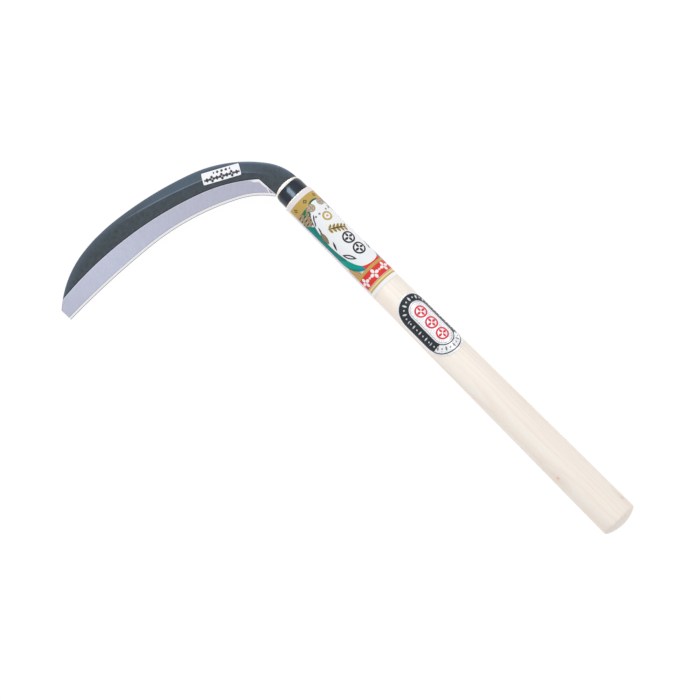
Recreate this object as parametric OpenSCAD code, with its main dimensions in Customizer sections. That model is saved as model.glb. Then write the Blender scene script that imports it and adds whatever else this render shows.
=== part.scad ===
// Hand sickle with a single-bevel laminated blade and a turned wooden handle.
// Origin: on the handle's axis, in the plane of the ferrule's front edge.
// +X runs along the handle to the butt, the blade reaches out towards -Y,
// and +Z is the ground side of the blade. The blade's back is flat.

/* [Blade] */
// Length of the cutting edge, heel to tip
edge_len = 187; // [170:1:200]
// Thickness of the blade at its ridge, next to the neck
ridge_t = 3.4; // [2.8:0.1:4.2]
// Share of that thickness left at the tip
tip_share = 0.65; // [0.5:0.05:1]
// Width of the ground bevel next to the heel
bevel_heel_w = 12.9; // [12:0.1:13.5]
// Slope of the facet between the ridge and the spine, in degrees
facet_slope = 9; // [4:1:14]
// Thickness of the hard steel layer
steel_t = 0.5; // [0.3:0.05:0.8]
// Width of the hard steel on the blade's back
steel_w = 13; // [10:0.5:15]
// Width of the finely ground strip along the cutting edge
strip_w = 2; // [1:0.1:3]

/* [Tang] */
// Length of the tang behind the neck
tang_len = 64; // [50:1:75]
// Width of the tang at the neck
tang_w = 12; // [9:0.5:13]
// Width of the tang at its end
tang_end_w = 8; // [5:0.5:9]
// Thickness of the tang
tang_t = 2.6; // [2:0.1:2.6]
// Diameter of the pin through handle and tang
pin_d = 3; // [2:0.1:4]
// Distance of the pin from the ferrule's front edge
pin_x = 36; // [25:1:45]

/* [Handle] */
// Distance from the ferrule's front edge to the end of the butt
handle_len = 356; // [330:1:380]
// Diameter just behind the ferrule
head_d = 24.7; // [23.6:0.1:26]
// Diameter where the taper quickens
waist_d = 25.5; // [24:0.1:27]
// Diameter at the butt
butt_d = 29.7; // [27:0.1:32]
// Height of the dome on the butt
butt_dome_h = 3.7; // [2:0.1:6]
// Height of the dome on the head
head_dome_h = 2.6; // [2:0.1:4]
// Diameter of the head where it passes through the ferrule
nose_d = 20.6; // [18:0.1:20.8]

/* [Ferrule] */
// Outside diameter of the ferrule
ferrule_d = 23; // [22.6:0.1:23.6]
// Length of the ferrule
ferrule_len = 11; // [8:0.5:11.5]
// Length of its rounded shoulder
shoulder_len = 3.8; // [3.6:0.1:4]
// Thickness of its sheet metal
ferrule_t = 0.9; // [0.7:0.1:1.1]

/* [Labels] */
// Start of the wrap label, from the ferrule's front edge
wrap_start = 12; // [11:0.5:16]
// End of the wrap label
wrap_end = 106.5; // [95:0.5:109]
// Start of the oval sticker
oval_start = 122.5; // [110:0.5:130]
// Length of the oval sticker
oval_len = 57; // [50:1:70]
// Width of the oval sticker, across the handle
oval_w = 25.4; // [18:0.1:25.4]
// Turn of the oval sticker round the handle, from +Z towards +Y, in degrees
oval_turn = 19; // [0:1:30]
// Length of the blade sticker
tag_len = 30.7; // [20:0.1:34]
// Width of the blade sticker
tag_w = 10.2; // [7:0.1:10.4]

/* [Hidden] */
$fn = 96;

gap = 0.05;              // clearance between pieces that only touch
slip = 0.15;             // clearance of the tang in its mortise
paper_t = 0.15;          // thickness of a label
land_t = 0.12;           // thickness left at the very edge
plunge_step = 0.8;       // width of the step that ends the bevel at the heel
flat_slope = 2.5;        // slope of the flat between bevel and ridge, in degrees
station_step = 2.6;      // distance between cross-sections along the edge
neck_stations = 6;       // cross-sections between the neck's end and the heel
back_cut = 0.4;          // extra depth that the flat back trims off
iron_setback = 0.2;      // the iron starts this far behind the honed strip
back_z = -ridge_t / 2;   // height of the flat back
big = 500;

// Outlines are tangent arcs, each [radius, turn in degrees], all turning left.
blade_k = edge_len / 187;
edge_start = [-2.45, -11.15];
edge_heading = 215.4;
edge_arcs = [[59.6, 26.7], [199.3, 22.1], [654, 7.2]];
spine_start = [-2.45, 10.6];
spine_heading = 184.1;
spine_arcs = [[43.3, 31.9], [102.3, 33.9], [282.5, 13.6], [139.3, 14.3], [76.9, 35]];
lead = 6;                // straight run ahead of the spine's first arc
tail = 14;               // straight run past the last arc
neck_corner = [-0.45, -9.65];
ground_start = [-20.15, -10.6];   // corner where the bevel reaches its full width
ground_heading = 228.2;
ground_arcs = [[126.6, 21.4], [287.6, 26]];
ridge_d = 8.6;           // distance from the spine to the ridge at the neck
ridge_merge = 0.72;      // share of the edge where the ridge runs into the spine
ridge_fade = 0.12;       // share of the edge over which the facet grows
min_step = 0.12;         // least distance between neighbouring section points
steel_share = 0.8;       // widest part of a section that the hard steel covers
strip_share = 0.6;       // widest part of a narrow bevel that the honed strip covers

nose_len = 1.6;          // head of the handle that shows ahead of the ferrule
lip_w = 0.3;             // flat lip of the ferrule round the head
waist_x = 110;           // where the handle's taper quickens
tang_root = -9;          // where the tang leaves the neck
pin_len = head_d - 0.4;  // the pin's ends lie just under the wrap label
tag_reach = 0.4;         // share of the edge past which the blade has no sticker
tag_centre = [-43.4, -28.3];
tag_turn = 61.1;
tag_corner_r = 1.4;

function unit(a) = [cos(a), sin(a)];
function mix(a, b, t) = a + (b - a) * t;
function ramp(t) = min(1, max(0, t));
function dome_r(h, d) = (h * h + d * d / 4) / (2 * h);

head_dome_r = dome_r(head_dome_h, nose_d);
head_centre = head_dome_r - head_dome_h - nose_len;
butt_dome_r = dome_r(butt_dome_h, butt_d);
shoulder_drop = (ferrule_d - nose_d) / 2 - lip_w;
shoulder_r = dome_r(shoulder_drop, 2 * shoulder_len);

// Point reached from p, heading h, after turning by a on radius r
function arc_point(p, h, r, a) = p + r * [sin(h + a) - sin(h), cos(h) - cos(h + a)];

// [point, heading] stations along tangent arcs, about step apart
function arc_chain(p, h, arcs, step, i = 0) =
    i == len(arcs) ? [[p, h]] :
    let (r = arcs[i][0] * blade_k, a = arcs[i][1], n = ceil(r * a * PI / 180 / step))
    concat([for (k = [0 : n - 1]) [arc_point(p, h, r, a * k / n), h + a * k / n]],
           arc_chain(arc_point(p, h, r, a), h + a, arcs, step, i + 1));

// Distance from p along d to the segment from a to b, if it crosses it
function crossing(p, d, a, b) =
    let (e = b - a, q = a - p, c = cross(d, e), s = cross(q, e) / c, u = cross(q, d) / c)
    s > 0 && u >= 0 && u < 1 ? s : undef;

// Arcs with a straight run ahead of them, from before, and another behind them
function arc_line(before, p, h, arcs) =
    let (chain = arc_chain(p, h, arcs, 1), last = chain[len(chain) - 1])
    concat([before], [for (s = chain) s[0]], [last[0] + tail * unit(last[1])]);

spine_line = arc_line(spine_start - lead * unit(spine_heading), spine_start, spine_heading, spine_arcs);
ground_line = arc_line(neck_corner + [1, 0.4], ground_start, ground_heading, ground_arcs);

// Distance from p along d to a line of points
function distance_to(line, p, d) =
    [for (i = [0 : len(line) - 2])
        let (s = crossing(p, d, line[i], line[i + 1])) if (s != undef) s][0];

edge_chain = arc_chain(edge_start, edge_heading, edge_arcs, station_step);
last_station = len(edge_chain) - 1;

// Stations are [point, direction across the blade, share along the edge]
edge_stations = [for (i = [0 : last_station])
    [edge_chain[i][0], unit(edge_chain[i][1] - 90), i / last_station]];
neck_fan = [for (j = [0 : neck_stations - 1]) let (t = j / neck_stations)
    [mix(neck_corner, edge_start, t), unit(mix(90, edge_heading - 90, t)), t - 1]];

function ridge_distance(f) = max(min_step, ridge_d * (1 - pow(max(0, f) / ridge_merge, 3)));
function top_t(f) = ridge_t * mix(1, tip_share, max(0, f));

// Heights above the back at one station, as [distance from the edge, height]:
// strip along the edge, end of the bevel, top of the step, ridge, spine
function profile(s) =
    let (f = s[2],
         w = distance_to(spine_line, s[0], s[1]),
         ridge_w = w - ridge_distance(f),
         ground_w = distance_to(ground_line, s[0], s[1]),
         bevel_w = max(bevel_heel_w, ground_w),
         drop = tan(flat_slope),
         rise = (top_t(f) - drop * max(0, ridge_w - bevel_w) - steel_t) / (bevel_w - strip_w),
         end_w = min(ground_w, ridge_w - plunge_step - min_step),
         strip = min(strip_w, end_w * strip_share),
         step_w = end_w + plunge_step,
         flat_z = top_t(f) - drop * (ridge_w - step_w),
         facet = tan(facet_slope) * ridge_distance(f) * ramp(f / ridge_fade + 0.3))
    [[strip, mix(land_t, steel_t, strip / strip_w)],
     [end_w, ground_z(end_w, rise)],
     [step_w, ground_w < bevel_heel_w ? flat_z : min(flat_z, ground_z(step_w, rise))],
     [ridge_w, min(top_t(f), ground_z(max(ridge_w, bevel_w), rise))],
     [w, min(top_t(f) - facet, ground_z(max(w, bevel_w), rise))]];

// Height of the ground bevel at distance w from the edge
function ground_z(w, rise) = steel_t + rise * (w - strip_w);

// A section point [distance from the edge, height above the back] as a point in space
function place(s, q) = [each (s[0] + s[1] * q[0]), back_z + q[1]];

function steel_inner(w) = min(steel_w, w * steel_share);

// Closed solid through rings that all have equally many points
module loft(rings) {
    n = len(rings[0]);
    last = len(rings) - 1;
    sides = [for (i = [0 : last - 1], j = [0 : n - 1])
        let (a = i * n + j, b = i * n + (j + 1) % n)
        each [[a, b + n, b], [a, a + n, b + n]]];
    polyhedron([for (r = rings) each r],
               concat([[for (j = [0 : n - 1]) j]], sides, [[for (j = [n - 1 : -1 : 0]) last * n + j]]));
}

// The iron's section: bevel, flat and facet above, with room for the steel below
function iron_ring(s) =
    let (p = profile(s), w = p[4][0], inner = steel_inner(w), heel = s[2] < 0)
    [for (q = [heel ? [0, gap] : p[0] + [iron_setback, gap],
               p[1], p[2], p[3], p[4],
               [w, -back_cut],
               [inner, -back_cut],
               [inner, heel ? gap : steel_t + gap]]) place(s, q)];

function steel_ring(s) =
    let (p = profile(s), inner = steel_inner(p[4][0]) - gap)
    [for (q = [[0, land_t], p[0], [inner, steel_t], [inner, 0], [0, 0]]) place(s, q)];

// A thin layer that follows the blade's upper side
function skin_ring(s) =
    let (p = profile(s))
    [for (q = [p[2] + [0, paper_t], p[3] + [0, paper_t], p[4] + [0, paper_t], p[4], p[3], p[2]])
        place(s, q + [0, gap])];

module tang_outline(extra = 0) {
    half = tang_w / 2 + extra;
    end_half = tang_end_w / 2 + extra;
    polygon([[tang_root, half], [tang_root, -half], [tang_len - tang_end_w / 2, -end_half],
             [tang_len + extra, 0], [tang_len - tang_end_w / 2, end_half]]);
}

module tang(extra = 0) {
    translate([0, 0, -tang_t / 2 - extra])
    linear_extrude(tang_t + 2 * extra)
    tang_outline(extra);
}

module blade_body() {
    color("slategray")
    difference() {
        union() {
            difference() {
                loft([for (s = concat(neck_fan, edge_stations)) iron_ring(s)]);
                // the neck's end follows the domed head of the handle
                translate([head_centre, 0, -big / 2])
                cylinder(h = big, r = head_dome_r + gap);
                // the back is ground flat
                translate([-big / 2, -big / 2, back_z - big])
                cube(big);
            }
            tang();
        }
        translate([pin_x, 0, -tang_t])
        cylinder(h = 2 * tang_t, d = pin_d + 2 * gap);
    }
}

module edge_steel() {
    color("silver")
    loft([for (s = edge_stations) steel_ring(s)]);
}

// Lays a shape made along +Z along the handle's axis
module along_handle(x = 0) {
    translate([x, 0, 0])
    rotate([0, 90, 0])
    children();
}

// Half-section of the ferrule's outside, or of a shell that far inside it
module cap_section(inset = 0) {
    r = ferrule_d / 2 - inset;
    arc_r = shoulder_r - inset;
    translate([0, shoulder_len])
    square([r, ferrule_len - shoulder_len]);
    square([r - arc_r, shoulder_len]);
    intersection() {
        translate([r - arc_r, shoulder_len])
        circle(arc_r);
        square([r, shoulder_len]);
    }
}

// Radius of the wood at x, between the ferrule and the butt
function wood_r(x) = x < waist_x ?
    mix(head_d, waist_d, (x - ferrule_len) / (waist_x - ferrule_len)) / 2 :
    mix(waist_d, butt_d, (x - waist_x) / (handle_len - butt_dome_h - waist_x)) / 2;

// Half-section of the turned wood: head, seat of the ferrule, taper and butt
module handle_section() {
    rim_x = handle_len - butt_dome_h;
    intersection() {
        translate([0, -nose_len - head_dome_h])
        square([nose_d / 2, nose_len + head_dome_h + shoulder_len]);
        translate([0, head_centre])
        circle(head_dome_r);
    }
    cap_section(ferrule_t + gap);
    polygon([[0, ferrule_len], [wood_r(ferrule_len), ferrule_len], [wood_r(waist_x), waist_x],
             [wood_r(rim_x), rim_x], [0, rim_x]]);
    intersection() {
        translate([0, rim_x])
        square([wood_r(rim_x), butt_dome_h]);
        translate([0, handle_len - butt_dome_r])
        circle(butt_dome_r);
    }
}

module handle() {
    color("bisque")
    difference() {
        along_handle()
        rotate_extrude()
        handle_section();
        tang(slip);
        pin_hole();
    }
}

module pin_hole() {
    translate([pin_x, 0, -head_d])
    cylinder(h = 2 * head_d, d = pin_d);
}

module ferrule() {
    color("dimgray")
    difference() {
        along_handle()
        rotate_extrude()
        cap_section();
        along_handle()
        rotate_extrude()
        cap_section(ferrule_t);
        along_handle(-gap)
        cylinder(h = ferrule_len, d = nose_d + 2 * gap);
    }
}

module tang_pin() {
    color("gray")
    translate([pin_x, 0, -pin_len / 2])
    cylinder(h = pin_len, d = pin_d - gap);
}

// A layer of paper round the handle between two places along it
module sleeve(x0, x1) {
    inner0 = wood_r(x0) + gap;
    inner1 = wood_r(x1) + gap;
    along_handle()
    rotate_extrude()
    polygon([[inner0, x0], [inner0 + paper_t, x0], [inner1 + paper_t, x1], [inner1, x1]]);
}

module wrap_label() {
    color("white")
    sleeve(wrap_start, wrap_end);
}

module stadium(length, width) {
    straight = length - width;
    translate([-straight / 2, -width / 2])
    square([straight, width]);
    for (side = [-1, 1])
        translate([side * straight / 2, 0])
        circle(d = width);
}

module oval_sticker() {
    color("darkslategray")
    rotate([-oval_turn, 0, 0])
    intersection() {
        sleeve(oval_start - gap, oval_start + oval_len + gap);
        translate([oval_start + oval_len / 2, 0, 0])
        linear_extrude(butt_d)
        stadium(oval_len, oval_w);
    }
}

module rounded_rectangle(length, width, r) {
    square([length - 2 * r, width], center = true);
    square([length, width - 2 * r], center = true);
    for (x = [-1, 1], y = [-1, 1])
        translate([x * (length / 2 - r), y * (width / 2 - r)])
        circle(r);
}

module blade_sticker() {
    color("white")
    intersection() {
        loft([for (s = edge_stations) if (s[2] < tag_reach) skin_ring(s)]);
        translate([tag_centre[0], tag_centre[1], back_z])
        rotate(tag_turn)
        linear_extrude(3 * ridge_t)
        rounded_rectangle(tag_len, tag_w, tag_corner_r);
    }
}

blade_body();
edge_steel();
handle();
ferrule();
tang_pin();
wrap_label();
oval_sticker();
blade_sticker();
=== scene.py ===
"""Looks of the hand sickle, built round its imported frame.

Lengths in this file are millimetres, and meshes are scaled to metres when they are made.
The frame: the handle's axis is +X from the ferrule's front edge to the butt, the blade reaches out
towards -Y, and +Z is the ground side. On the handle a place is (x, s), where s is the arc length round
the wood from +Z towards +Y. On the blade it is (along, across), from the heel and from the cutting edge.
"""
import math

import bmesh
import bpy
import numpy as np
from mathutils import Matrix, Vector


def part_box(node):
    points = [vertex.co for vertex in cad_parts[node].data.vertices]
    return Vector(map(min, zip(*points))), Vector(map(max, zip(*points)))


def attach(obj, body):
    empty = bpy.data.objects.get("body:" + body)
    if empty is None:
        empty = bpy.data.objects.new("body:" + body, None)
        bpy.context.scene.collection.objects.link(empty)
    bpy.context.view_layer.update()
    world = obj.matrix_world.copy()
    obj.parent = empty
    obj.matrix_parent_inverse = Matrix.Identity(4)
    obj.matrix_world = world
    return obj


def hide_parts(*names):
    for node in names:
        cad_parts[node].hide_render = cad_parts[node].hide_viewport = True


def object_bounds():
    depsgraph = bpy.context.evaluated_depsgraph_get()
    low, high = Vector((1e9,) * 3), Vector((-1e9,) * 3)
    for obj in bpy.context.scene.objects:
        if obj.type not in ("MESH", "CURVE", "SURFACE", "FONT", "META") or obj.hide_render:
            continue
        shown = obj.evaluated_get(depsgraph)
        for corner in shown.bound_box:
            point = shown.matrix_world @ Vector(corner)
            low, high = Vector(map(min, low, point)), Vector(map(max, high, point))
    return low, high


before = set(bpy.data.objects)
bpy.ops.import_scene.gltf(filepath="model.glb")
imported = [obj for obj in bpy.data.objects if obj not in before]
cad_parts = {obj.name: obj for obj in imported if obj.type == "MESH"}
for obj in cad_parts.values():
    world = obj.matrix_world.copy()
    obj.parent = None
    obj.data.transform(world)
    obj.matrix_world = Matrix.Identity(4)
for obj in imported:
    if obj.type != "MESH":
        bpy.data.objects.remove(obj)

MM = 0.001
cad_low, cad_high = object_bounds()


def node_box(node):
    low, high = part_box(node)
    return low / MM, high / MM


# ---------------------------------------------------------------- sizes from the frame
_, HANDLE_HIGH = node_box("handle")
FERRULE_LOW, FERRULE_HIGH = node_box("ferrule")
WRAP_LOW, WRAP_HIGH = node_box("wrap_label")
OVAL_LOW, OVAL_HIGH = node_box("oval_sticker")
TAG_LOW, TAG_HIGH = node_box("blade_sticker")
BLADE_LOW, BLADE_HIGH = node_box("blade_body")
PIN_LOW, PIN_HIGH = node_box("tang_pin")

BUTT_X = HANDLE_HIGH.x
BUTT_R = HANDLE_HIGH.y
BUTT_DOME = 3.7
BUTT_RIM_X = BUTT_X - BUTT_DOME
HEAD_R = 12.35
WAIST_R = 12.75
WAIST_X = 110.0
FERRULE_R = FERRULE_HIGH.y
FERRULE_LEN = FERRULE_HIGH.x - FERRULE_LOW.x
SHOULDER_LEN = 3.8
SHEET_T = 0.9
NOSE_R = 10.3
NOSE_LEN = 1.6
HEAD_DOME = 2.6
PAPER_T = 0.15
GAP = 0.05

RIDGE_T = -2 * BLADE_LOW.z
BACK_Z = BLADE_LOW.z
TIP_SHARE = 0.65
STEEL_T = 0.5
STEEL_W = 13.0
STRIP_W = 2.0
LAND_T = 0.12
STEP_W = 0.8
BEVEL_HEEL_W = 12.9
RIDGE_D = 8.6
RIDGE_MERGE = 0.72
RIDGE_FADE = 0.12
FLAT_DROP = math.tan(math.radians(2.5))
FACET_DROP = math.tan(math.radians(9))

# Outlines of the blade are tangent arcs, each (radius, turn in degrees), all turning left.
EDGE_START, EDGE_HEADING = (-2.45, -11.15), 215.4
EDGE_ARCS = [(59.6, 26.7), (199.3, 22.1), (654, 7.2)]
SPINE_START, SPINE_HEADING = (-2.45, 10.6), 184.1
SPINE_ARCS = [(43.3, 31.9), (102.3, 33.9), (282.5, 13.6), (139.3, 14.3), (76.9, 35)]
GROUND_START, GROUND_HEADING = (-20.15, -10.6), 228.2
GROUND_ARCS = [(126.6, 21.4), (287.6, 26)]
NECK_CORNER = (-0.45, -9.65)
LEAD, TAIL = 6.0, 14.0
HEAD_DOME_R = (HEAD_DOME ** 2 + NOSE_R ** 2) / (2 * HEAD_DOME)
HEAD_CENTRE = HEAD_DOME_R - HEAD_DOME - NOSE_LEN
TANG_LEN, TANG_W, TANG_END_W, TANG_T = BLADE_HIGH.x, 12.0, 8.0, 2.6


# ---------------------------------------------------------------- outlines
def unit(degrees):
    return np.array([math.cos(math.radians(degrees)), math.sin(math.radians(degrees))])


def arc_chain(start, heading, arcs, step):
    """Points and headings along tangent arcs, about step apart."""
    point = np.array(start, float)
    stations = []
    for radius, turn in arcs:
        count = math.ceil(radius * math.radians(turn) / step)
        normal = unit(heading + 90)
        for k in range(count):
            here = heading + turn * k / count
            stations.append((point + radius * (normal - unit(here + 90)), here))
        point = point + radius * (normal - unit(heading + turn + 90))
        heading += turn
    stations.append((point, heading))
    return stations


def arc_line(before, start, heading, arcs):
    """A fine line of points along arcs, with a straight run at each end."""
    chain = arc_chain(start, heading, arcs, 0.5)
    last, last_heading = chain[-1]
    return np.array([before] + [p for p, _ in chain] + [last + TAIL * unit(last_heading)])


SPINE_LINE = arc_line(SPINE_START - LEAD * unit(SPINE_HEADING), SPINE_START, SPINE_HEADING, SPINE_ARCS)
GROUND_LINE = arc_line(np.add(NECK_CORNER, (1, 0.4)), GROUND_START, GROUND_HEADING, GROUND_ARCS)


def distance_to(line, point, direction):
    """Distance from a point along a direction to the first crossing with a line."""
    a, b = line[:-1], line[1:]
    e = b - a
    q = a - point
    turn = direction[0] * e[:, 1] - direction[1] * e[:, 0]
    s = (q[:, 0] * e[:, 1] - q[:, 1] * e[:, 0]) / turn
    u = (q[:, 0] * direction[1] - q[:, 1] * direction[0]) / turn
    hits = s[(s > 0) & (u >= 0) & (u < 1)]
    return float(hits[0])


def soft_line(corners, reaches, counts, corner_steps=4):
    """A polyline whose corners are rounded over the given reaches, always with equally many points."""
    corners = [np.array(c, float) for c in corners]
    points = [corners[0]]
    previous = corners[0]
    for i in range(1, len(corners) - 1):
        a, b, c = corners[i - 1], corners[i], corners[i + 1]
        reach = min(reaches[i], 0.45 * np.linalg.norm(b - a), 0.45 * np.linalg.norm(c - b))
        enter = b + (a - b) * reach / max(np.linalg.norm(a - b), 1e-9)
        leave = b + (c - b) * reach / max(np.linalg.norm(c - b), 1e-9)
        points += [previous + (enter - previous) * k / counts[i - 1] for k in range(1, counts[i - 1])]
        points += [(1 - t) ** 2 * enter + 2 * t * (1 - t) * b + t * t * leave
                   for t in np.linspace(0, 1, corner_steps)]
        previous = leave
    points += [previous + (corners[-1] - previous) * k / counts[-1] for k in range(1, counts[-1] + 1)]
    return points


# ---------------------------------------------------------------- meshes
LATHE_STEPS = 160
DOME_STEPS = 14


def make_piece(name, points, faces, sharp_degrees=35):
    """A closed mesh object with smooth shading between its sharp edges and all its faces turned outwards."""
    mesh = bpy.data.meshes.new(name)
    mesh.from_pydata([tuple(MM * c for c in p) for p in points], [], faces)
    mesh.shade_smooth()
    mesh.set_sharp_from_angle(angle=math.radians(sharp_degrees))
    work = bmesh.new()
    work.from_mesh(mesh)
    bmesh.ops.recalc_face_normals(work, faces=work.faces)
    work.to_mesh(mesh)
    work.free()
    piece = bpy.data.objects.new(name, mesh)
    bpy.context.scene.collection.objects.link(piece)
    return piece


def add_values(piece, **values):
    """Stores a number at each point, for the materials."""
    for name, numbers in values.items():
        attribute = piece.data.attributes.new(name, "FLOAT", "POINT")
        attribute.data.foreach_set("value", np.array(numbers, np.float32))


def ring_faces(rings, points_each, closed=True):
    """Quads between neighbouring rings of points."""
    count = points_each if closed else points_each - 1
    return [[i * points_each + j, i * points_each + (j + 1) % points_each,
             (i + 1) * points_each + (j + 1) % points_each, (i + 1) * points_each + j]
            for i in range(rings - 1) for j in range(count)]


def lathe(name, outline, closed=False):
    """A turned shape from an outline of (x, radius) points. An open outline starts and ends on the axis."""
    body = outline if closed else outline[1:-1]
    points = []
    for k in range(LATHE_STEPS):
        angle = 2 * math.pi * k / LATHE_STEPS
        points += [(x, r * math.sin(angle), r * math.cos(angle)) for x, r in body]
    n = len(body)
    faces = []
    for k in range(LATHE_STEPS):
        a, b = k * n, (k + 1) % LATHE_STEPS * n
        faces += [[a + j, a + j + 1, b + j + 1, b + j] for j in range(n - 1)]
        if closed:
            faces.append([a + n - 1, a, b, b + n - 1])
    if not closed:
        for end, j in ((outline[0], 0), (outline[-1], n - 1)):
            hub = len(points)
            points.append((end[0], 0, 0))
            faces += [[hub, k * n + j, (k + 1) % LATHE_STEPS * n + j] for k in range(LATHE_STEPS)]
    return make_piece(name, points, faces)


def dress(piece, node, slot, *materials):
    """The piece stands for its CAD node, moves with it and wears these materials."""
    for material in materials:
        piece.data.materials.append(material)
    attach(piece, "root")
    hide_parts(node)


def wood_radius(x):
    if x < WAIST_X:
        return HEAD_R + (WAIST_R - HEAD_R) * (x - FERRULE_LEN) / (WAIST_X - FERRULE_LEN)
    return WAIST_R + (BUTT_R - WAIST_R) * (x - WAIST_X) / (BUTT_RIM_X - WAIST_X)


# ---------------------------------------------------------------- node graphs
def arithmetic(operation, swapped=False):
    """A method that joins two numbers with a math node, in the other order if swapped."""
    def method(self, other):
        return self.graph.math(operation, *((other, self) if swapped else (self, other)))
    return method


class Value:
    """A number in a material's node graph, with the usual arithmetic."""

    __add__, __radd__ = arithmetic("ADD"), arithmetic("ADD", True)
    __sub__, __rsub__ = arithmetic("SUBTRACT"), arithmetic("SUBTRACT", True)
    __mul__, __rmul__ = arithmetic("MULTIPLY"), arithmetic("MULTIPLY", True)
    __truediv__ = arithmetic("DIVIDE")

    def __init__(self, graph, socket):
        self.graph = graph
        self.socket = socket

    def __neg__(self):
        return self.graph.math("MULTIPLY", self, -1.0)

    def __abs__(self):
        return self.graph.math("ABSOLUTE", self)


class Graph:
    """Builds one material from values, masks and colours."""

    def __init__(self, name):
        self.material = bpy.data.materials.new(name)
        self.material.use_nodes = True
        self.nodes = self.material.node_tree.nodes
        self.links = self.material.node_tree.links
        self.nodes.clear()
        place = self.node("TexCoord").outputs["Object"]
        self.place = self.vector_math("MULTIPLY", place, (1 / MM, 1 / MM, 1 / MM))
        self.x, self.y, self.z = self.split(self.place)

    def node(self, kind, **settings):
        node = self.nodes.new("ShaderNode" + kind)
        for name, value in settings.items():
            setattr(node, name, value)
        return node

    def split(self, place):
        """The three coordinates of a place."""
        node = self.node("SeparateXYZ")
        self.links.new(place, node.inputs[0])
        return [Value(self, out) for out in node.outputs]

    def plug(self, socket, value):
        if isinstance(value, Value):
            self.links.new(value.socket, socket)
        elif isinstance(value, bpy.types.NodeSocket):
            self.links.new(value, socket)
        elif hasattr(value, "__len__") and len(value) == 3 and socket.type == "RGBA":
            socket.default_value = (*value, 1)
        else:
            socket.default_value = value

    def math(self, operation, *values, clamp=False):
        node = self.node("Math", operation=operation, use_clamp=clamp)
        for socket, value in zip(node.inputs, values):
            self.plug(socket, value)
        return Value(self, node.outputs[0])

    def vector_math(self, operation, *vectors):
        node = self.node("VectorMath", operation=operation)
        for socket, vector in zip(node.inputs, vectors):
            self.plug(socket, vector)
        return node.outputs["Value" if operation in ("DISTANCE", "LENGTH", "DOT_PRODUCT") else "Vector"]

    def combine(self, x, y, z=0.0):
        node = self.node("CombineXYZ")
        for socket, value in zip(node.inputs, (x, y, z)):
            self.plug(socket, value)
        return node.outputs[0]

    def attribute(self, name):
        return Value(self, self.node("Attribute", attribute_name=name).outputs["Fac"])

    def noise(self, scale, detail, roughness=0.5, place=None):
        """Noise with features about 1 / scale long, in each direction if scale has three numbers."""
        node = self.node("TexNoise")
        scale = scale if isinstance(scale, tuple) else (scale, scale, scale)
        self.plug(node.inputs["Vector"], self.vector_math("MULTIPLY", place or self.place, scale))
        node.inputs["Scale"].default_value = 1.0
        node.inputs["Detail"].default_value = detail
        node.inputs["Roughness"].default_value = roughness
        return Value(self, node.outputs["Fac"])

    def fit(self, value, low, high, to_low=0.0, to_high=1.0):
        """Maps low..high smoothly to to_low..to_high."""
        node = self.node("MapRange", interpolation_type="SMOOTHSTEP")
        for socket, number in zip(node.inputs, (value, low, high, to_low, to_high)):
            self.plug(socket, number)
        return Value(self, node.outputs[0])

    def inside(self, distance, soft=0.12):
        """1 where a distance is below zero, with a narrow soft border."""
        return self.math("MULTIPLY_ADD", distance, -1 / soft, 0.5, clamp=True)

    def mix(self, colour, other, share):
        node = self.node("Mix", data_type="RGBA")
        self.plug(node.inputs[0], share)
        self.plug(node.inputs[6], colour)
        self.plug(node.inputs[7], other)
        return node.outputs[2]

    def lowest(self, *distances):
        """The union of several shapes."""
        result = distances[0]
        for distance in distances[1:]:
            result = self.math("MINIMUM", result, distance)
        return result

    def highest(self, *distances):
        """The overlap of several shapes."""
        result = distances[0]
        for distance in distances[1:]:
            result = self.math("MAXIMUM", result, distance)
        return result

    def bump(self, height, depth):
        """A normal from a height of 0..1 that stands for depth in millimetres."""
        node = self.node("Bump")
        node.inputs["Strength"].default_value = 1.0
        node.inputs["Distance"].default_value = depth * MM
        self.plug(node.inputs["Height"], height)
        return node.outputs[0]

    def finish(self, **inputs):
        """Ends the graph in one Principled surface."""
        surface = self.node("BsdfPrincipled")
        for name, value in inputs.items():
            self.plug(surface.inputs[name.replace("_", " ")], value)
        out = self.node("OutputMaterial")
        self.links.new(surface.outputs[0], out.inputs[0])
        return self.material


FAR = 1e5


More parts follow.
